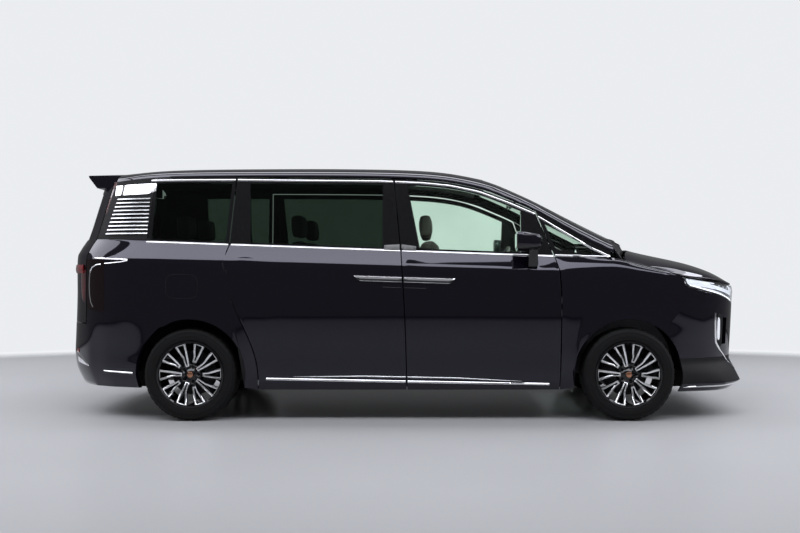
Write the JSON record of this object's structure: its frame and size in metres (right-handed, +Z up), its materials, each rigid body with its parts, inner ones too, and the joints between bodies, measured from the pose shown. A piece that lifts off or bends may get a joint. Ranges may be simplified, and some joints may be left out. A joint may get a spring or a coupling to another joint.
{
  "type": "luxury minivan",
  "caption": "Long low-floor luxury minivan: hinged hood, tailgate and front doors, steered front wheels, turning wheels, tall upright grille and privacy glass.",
  "frame": {"origin": "on the ground under the middle of the car's box", "axes": "+X to the nose, +Y to the car's left, +Z up"},
  "size_m": [5.2218, 2.256, 1.9057],
  "materials": {
    "paint": "gloss metallic clear coat",
    "trim_black": "gloss",
    "plastic": "matte",
    "chrome": "polished",
    "glass_clear": "clear, pale green",
    "glass_dark": "privacy tint",
    "lamp_clear": "clear",
    "lamp_red": "gloss",
    "steel": "satin",
    "iron": "raw",
    "alloy": "machined and gloss black",
    "tyre": "matte",
    "leather": "soft satin",
    "carpet": "pile"
  },
  "bodies": {
    "body": {"floor_pan": "carpet", "side_frames": "steel", "roof": "paint", "roof_rails": "paint", "windshield": "glass_clear", "cowl": "plastic", "vent_frames": "trim_black", "rear_quarters": "paint", "fixed_side_glass": "glass_dark", "front_fenders": "paint", "front_bumper": "paint", "grille": "chrome", "headlamps": "lamp_clear", "rear_bumper": "paint", "tail_lamps": "lamp_red", "sliding_door_left": "paint", "sliding_door_right": "paint", "sliding_door_glass": "glass_dark", "sliding_door_handles": "chrome", "pillar_louvers": "chrome", "wheel_liners": "plastic", "front_subframe": "steel", "rear_axle": "steel", "engine_block": "iron", "exhaust": "iron", "dashboard": "plastic", "steering_wheel": "leather", "front_seats": "leather", "middle_seats": "leather", "rear_seats": "leather", "hood_hinges": "steel", "tailgate_hinges": "steel"},
    "hood": {"hood": "paint"},
    "tailgate": {"tailgate": "paint", "tailgate_glass": "glass_dark", "tailgate_lamp": "lamp_red", "roof_spoiler": "paint"},
    "door_left": {"front_door_left": "paint", "front_door_glass_left": "glass_clear", "mirror_left": "paint", "front_handle_left": "chrome"},
    "knuckle_left": {"knuckle_left": "iron"},
    "door_right": {"front_door_right": "paint", "front_door_glass_right": "glass_clear", "mirror_right": "paint", "front_handle_right": "chrome"},
    "knuckle_right": {"knuckle_right": "iron"},
    "wheel_front_left": {"tyre_front_left": "tyre", "rim_front_left": "alloy"},
    "wheel_front_right": {"tyre_front_right": "tyre", "rim_front_right": "alloy"},
    "wheel_rear_left": {"tyre_rear_left": "tyre", "rim_rear_left": "alloy"},
    "wheel_rear_right": {"tyre_rear_right": "tyre", "rim_rear_right": "alloy"}
  },
  "joints": [
    {"name": "hood_hinge", "type": "hinge", "parent": "body", "child": "hood", "pos_m": [1.636, 0, 1.19311], "axis": [0, -1, 0], "range_deg": [0, 38]},
    {"name": "tailgate_hinge", "type": "hinge", "parent": "body", "child": "tailgate", "pos_m": [-2.194, 0, 1.86459], "axis": [0, 1, 0], "range_deg": [0, 80]},
    {"name": "door_left_hinge", "type": "hinge", "parent": "body", "child": "door_left", "pos_m": [1.14916, 0.994, 0.835], "axis": [0, 0, -1], "range_deg": [0, 68]},
    {"name": "door_right_hinge", "type": "hinge", "parent": "body", "child": "door_right", "pos_m": [1.14916, -0.994, 0.835], "axis": [0, 0, 1], "range_deg": [0, 68]},
    {"name": "steer_left", "type": "hinge", "parent": "body", "child": "knuckle_left", "pos_m": [1.644, 0.765, 0.338], "axis": [0, 0, 1], "range_deg": [-35, 35]},
    {"name": "steer_right", "type": "hinge", "parent": "body", "child": "knuckle_right", "pos_m": [1.644, -0.765, 0.338], "axis": [0, 0, 1], "range_deg": [-35, 35]},
    {"name": "spin_front_left", "type": "hinge", "parent": "knuckle_left", "child": "wheel_front_left", "pos_m": [1.644, 0.86, 0.338], "axis": [0, 1, 0], "continuous": true},
    {"name": "spin_front_right", "type": "hinge", "parent": "knuckle_right", "child": "wheel_front_right", "pos_m": [1.644, -0.86, 0.338], "axis": [0, 1, 0], "continuous": true},
    {"name": "spin_rear_left", "type": "hinge", "parent": "body", "child": "wheel_rear_left", "pos_m": [-1.556, 0.86, 0.338], "axis": [0, 1, 0], "continuous": true},
    {"name": "spin_rear_right", "type": "hinge", "parent": "body", "child": "wheel_rear_right", "pos_m": [-1.556, -0.86, 0.338], "axis": [0, 1, 0], "continuous": true}
  ],
  "couplings": [
    {"joint": "steer_right", "follows": "steer_left", "ratio": 1}
  ]
}
